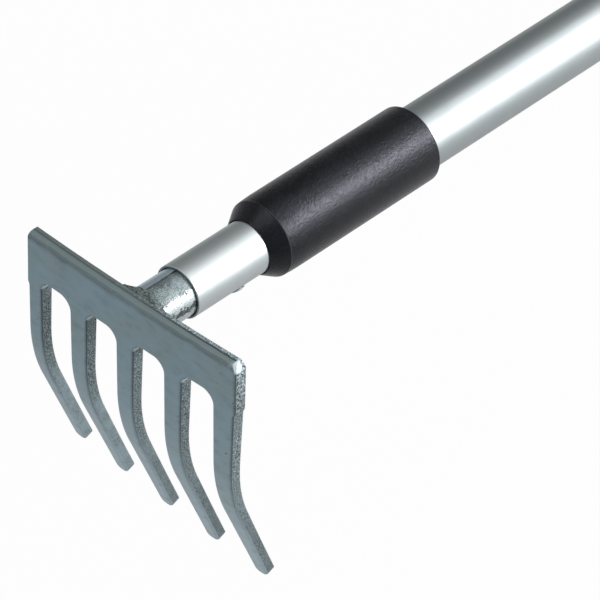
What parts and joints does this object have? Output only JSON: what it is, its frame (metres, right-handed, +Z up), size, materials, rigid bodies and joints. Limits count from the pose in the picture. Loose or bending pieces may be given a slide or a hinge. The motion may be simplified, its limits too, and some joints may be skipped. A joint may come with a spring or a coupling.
{
  "type": "telescopic shrub rake",
  "caption": "Short telescopic hand rake: stamped steel tined head on a riveted shank, sliding aluminium tubes with a twist lock, black collar, grip and hanging eye.",
  "frame": {"origin": "on the floor, under the middle of the tool's box", "axes": "+Y along the tool from the head to the user's end, +Z up, +X to the right as the user holds it; the tool lies on the tips of its tines and the end of its grip, so the handle slopes down 7.8 degrees towards +Y"},
  "size_m": [0.1072, 0.659, 0.1146],
  "materials": {
    "head_steel": "zinc plated, bluish grey, satin",
    "shank_steel": "galvanised, finely spangled",
    "weld_metal": "dark, rough fillet weld",
    "inner_alloy": "satin, drawn",
    "rivet_alloy": "satin",
    "mandrel_steel": "plain, snapped end",
    "plug_nylon": "moulded, matte",
    "pin_steel": "bright",
    "screw_zinc": "die cast, dull",
    "collet_acetal": "moulded, off-white",
    "ring_rubber": "matte",
    "nut_brass": "turned",
    "washer_steel": "zinc plated",
    "stop_screw_steel": "zinc plated",
    "outer_alloy": "satin, drawn",
    "collar_black": "moulded, finely grained, matte",
    "grip_rubber": "soft, matte",
    "cap_black": "moulded, matte"
  },
  "bodies": {
    "head": {"rake_head": "head_steel", "shank": "shank_steel", "weld_bead": "weld_metal", "inner_tube": "inner_alloy", "rivet_body": "rivet_alloy", "rivet_mandrel": "mandrel_steel", "lock_plug": "plug_nylon", "lock_plug_pin": "pin_steel", "lock_screw": "screw_zinc", "lock_stop_washer": "washer_steel", "lock_stop_screw": "stop_screw_steel"},
    "collet": {"lock_collet": "collet_acetal", "lock_drag_ring": "ring_rubber"},
    "nut": {"lock_cone_nut": "nut_brass"},
    "handle": {"outer_tube": "outer_alloy", "collar": "collar_black", "grip": "grip_rubber", "end_cap": "cap_black"}
  },
  "joints": [
    {"name": "lock_twist", "type": "hinge", "parent": "head", "child": "collet", "pos_m": [-0.00166, 0.05174, 0.05037], "axis": [0, 0.9908, -0.1353], "range_deg": [0, 180]},
    {"name": "tube_slide", "type": "slide", "parent": "collet", "child": "handle", "axis": [0, 0.9908, -0.1353], "range_m": [-0.0085, 0.3]},
    {"name": "nut_travel", "type": "slide", "parent": "collet", "child": "nut", "axis": [0, 0.9908, -0.1353], "range_m": [0, 0.0021]}
  ],
  "couplings": [
    {"joint": "nut_travel", "follows": "lock_twist", "m_per_rad": 0.00063662}
  ]
}
